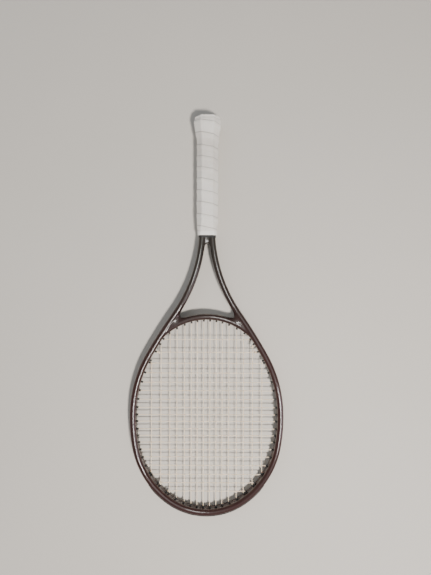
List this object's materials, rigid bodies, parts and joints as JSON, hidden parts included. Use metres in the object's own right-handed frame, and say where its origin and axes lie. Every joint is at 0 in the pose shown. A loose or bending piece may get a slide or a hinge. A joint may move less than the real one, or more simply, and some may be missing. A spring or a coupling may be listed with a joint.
{
  "type": "tennis racket",
  "caption": "Strung tennis racket with a hollow dark frame, open throat, woven strings and a pale overgrip on an octagonal handle with a trap door in the butt.",
  "frame": {"origin": "middle of the butt end face, on the handle's centre line and in the plane of the strings", "axes": "+Y along the handle to the tip of the head, +X across the head, +Z square to the strings"},
  "size_m": [0.2642, 0.6858, 0.0432],
  "materials": {
    "frame_lacquer": "gloss lacquer over a fibre moulding",
    "black_nylon": "satin",
    "string": "semi-gloss multifilament",
    "handle_foam": "matte",
    "cap_plastic": "fine grained",
    "badge_plastic": "gloss",
    "staple_steel": "bright wire",
    "grip_leather": "perforated synthetic leather",
    "overgrip_tape": "dry felted polyurethane",
    "finishing_tape": "satin tape",
    "collar_rubber": "matte rubber"
  },
  "bodies": {
    "racket": {"frame_tube": "frame_lacquer", "throat_bridge": "frame_lacquer", "bumper_guard": "black_nylon", "side_grommet_strip_left": "black_nylon", "side_grommet_strip_right": "black_nylon", "shoulder_grommet_strip_left": "black_nylon", "shoulder_grommet_strip_right": "black_nylon", "throat_grommet_strip": "black_nylon", "main_string": "string", "cross_string": "string", "handle_pallet_front": "handle_foam", "handle_pallet_back": "handle_foam", "butt_cap": "cap_plastic", "butt_cap_staples": "staple_steel", "grip_tack": "staple_steel", "base_grip": "grip_leather", "overgrip": "overgrip_tape", "finishing_tape": "finishing_tape", "grip_collar": "collar_rubber"},
    "trap_door": {"butt_cap_door": "cap_plastic", "butt_badge": "badge_plastic"}
  },
  "joints": [
    {"name": "door_hinge", "type": "hinge", "parent": "racket", "child": "trap_door", "pos_m": [0, 0.001, 0.0065], "axis": [-1, 0, 0], "range_deg": [0, 100]}
  ]
}
